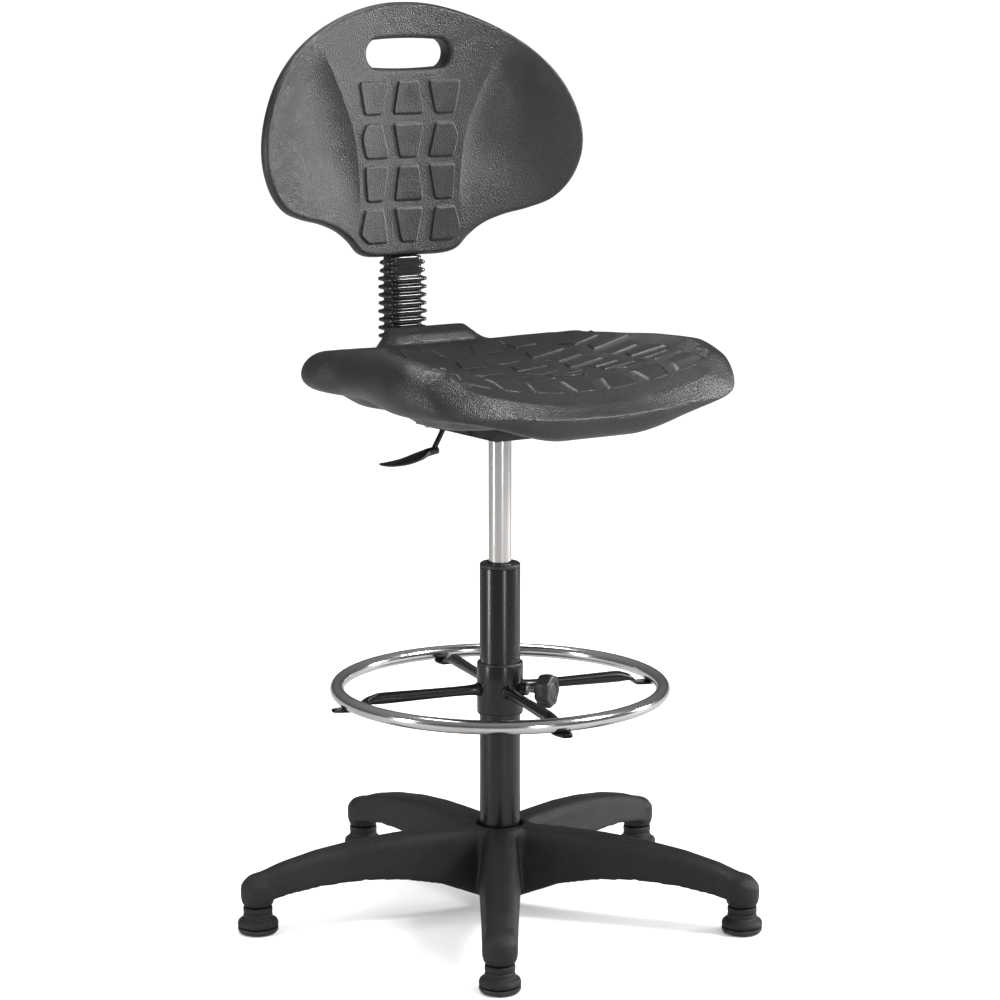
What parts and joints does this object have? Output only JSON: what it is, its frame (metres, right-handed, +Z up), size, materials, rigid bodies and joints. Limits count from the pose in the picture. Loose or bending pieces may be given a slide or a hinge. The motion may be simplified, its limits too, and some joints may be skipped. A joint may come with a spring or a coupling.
{
  "type": "drafting chair",
  "caption": "Draughtsman's swivel chair with a moulded seat, a winged backrest on a bellows-covered bar, a gas-lift column with a clamped foot ring and a star base on glides.",
  "frame": {"origin": "on the floor, under the middle of the chair's footprint at rest; the swivel axis stands at x = 0.003 m, y = -0.026 m", "axes": "+Z up, -Y the way the sitter faces, +X the sitter's left"},
  "size_m": [0.6363, 0.6136, 1.11],
  "materials": {
    "polyurethane": "satin",
    "nylon": "satin",
    "black_paint": "gloss",
    "black_plastic": "satin",
    "chrome": "polished",
    "steel": "satin",
    "rubber": "gloss",
    "board": "matte"
  },
  "bodies": {
    "base": {"star_base": "nylon", "glide_body_1": "nylon", "glide_body_2": "nylon", "glide_body_3": "nylon", "glide_body_4": "nylon", "glide_body_5": "nylon", "glide_sole_1": "black_plastic", "glide_sole_2": "black_plastic", "glide_sole_3": "black_plastic", "glide_sole_4": "black_plastic", "glide_sole_5": "black_plastic", "column_tube": "black_paint", "guide_bush": "black_plastic", "bearing_washer_lower": "steel", "ball_cage": "steel"},
    "spindle": {"piston_rod": "steel", "piston": "steel", "bearing_washer_upper": "steel", "bumper": "rubber", "rod_clip": "steel"},
    "lift": {"gas_cylinder": "chrome", "taper_socket": "black_paint", "mechanism_pan": "black_paint", "seat_plate": "black_paint", "seat_board": "board", "seat": "polyurethane", "seat_bolt_1": "steel", "seat_bolt_2": "steel", "seat_bolt_3": "steel", "seat_bolt_4": "steel", "lever_bracket": "steel", "lever_pin": "steel", "back_bracket": "black_paint"},
    "valve": {"valve_button": "steel"},
    "lever": {"lever_rod": "black_paint", "lever_paddle": "black_plastic"},
    "back_support": {"back_bar": "black_paint", "bellows": "rubber"},
    "tilt_lock": {"tilt_washer": "steel"},
    "tilt_screw": {"tilt_bolt": "steel", "tilt_knob": "black_plastic"},
    "backrest": {"back_shell": "polyurethane", "back_guide": "black_paint", "back_plate": "black_paint"},
    "back_lock": {"back_clamp_pad": "steel"},
    "back_screw": {"back_clamp_screw": "steel", "back_clamp_knob": "black_plastic"},
    "ring_slider": {"ring_bush_upper": "black_plastic", "ring_bush_lower": "black_plastic"},
    "footring": {"ring_sleeve": "black_paint", "foot_ring": "chrome", "spoke_1": "black_paint", "spoke_2": "black_paint", "spoke_3": "black_paint", "spoke_4": "black_paint", "clamp_boss": "black_paint"},
    "ring_lock": {"ring_clamp_pad": "steel"},
    "ring_screw": {"ring_clamp_screw": "steel", "ring_clamp_knob": "black_plastic"}
  },
  "joints": [
    {"name": "swivel", "type": "hinge", "parent": "base", "child": "spindle", "pos_m": [0.003, -0.026, 0.03], "axis": [0, 0, 1], "continuous": true},
    {"name": "seat_height", "type": "slide", "parent": "spindle", "child": "lift", "axis": [0, 0, 1], "range_m": [-0.13, 0.115]},
    {"name": "valve_travel", "type": "slide", "parent": "lift", "child": "valve", "axis": [0, 0, 1], "range_m": [-0.0036, 0]},
    {"name": "lever_pull", "type": "hinge", "parent": "lift", "child": "lever", "pos_m": [-0.027, -0.026, 0.6195], "axis": [0, 1, 0], "range_deg": [0, 6], "stiffness_Nm_per_rad": 3},
    {"name": "back_tilt", "type": "hinge", "parent": "lift", "child": "back_support", "pos_m": [0.003, 0.086, 0.6004], "axis": [1, 0, 0], "range_deg": [-14, 3]},
    {"name": "tilt_lock_travel", "type": "slide", "parent": "lift", "child": "tilt_lock", "axis": [1, 0, 0], "range_m": [0, 0.0025]},
    {"name": "tilt_knob_turn", "type": "hinge", "parent": "tilt_lock", "child": "tilt_screw", "pos_m": [0.03, 0.086, 0.6004], "axis": [1, 0, 0], "range_deg": [0, 600]},
    {"name": "back_height", "type": "slide", "parent": "back_support", "child": "backrest", "axis": [0, 0, 1], "range_m": [-0.02, 0.05], "deforming": ["bellows"]},
    {"name": "back_lock_travel", "type": "slide", "parent": "backrest", "child": "back_lock", "axis": [0, 1, 0], "range_m": [0, 0.0025]},
    {"name": "back_knob_turn", "type": "hinge", "parent": "back_lock", "child": "back_screw", "pos_m": [0.003, 0.21, 0.846], "axis": [0, 1, 0], "range_deg": [0, 600]},
    {"name": "ring_height", "type": "slide", "parent": "base", "child": "ring_slider", "axis": [0, 0, 1], "range_m": [-0.13, 0.105]},
    {"name": "ring_turn", "type": "hinge", "parent": "ring_slider", "child": "footring", "pos_m": [0.003, -0.026, 0.2825], "axis": [0, 0, 1], "continuous": true},
    {"name": "ring_lock_travel", "type": "slide", "parent": "footring", "child": "ring_lock", "axis": [0.5446, -0.8387, 0], "range_m": [0, 0.0025]},
    {"name": "ring_knob_turn", "type": "hinge", "parent": "ring_lock", "child": "ring_screw", "pos_m": [0.0303, -0.0681, 0.2825], "axis": [0.5446, -0.8387, 0], "range_deg": [0, 600]}
  ],
  "couplings": [
    {"joint": "valve_travel", "follows": "lever_pull", "m_per_rad": -0.034},
    {"joint": "tilt_knob_turn", "follows": "tilt_lock_travel", "rad_per_m": 4188.8},
    {"joint": "back_knob_turn", "follows": "back_lock_travel", "rad_per_m": 4188.8},
    {"joint": "ring_knob_turn", "follows": "ring_lock_travel", "rad_per_m": 4188.8}
  ]
}
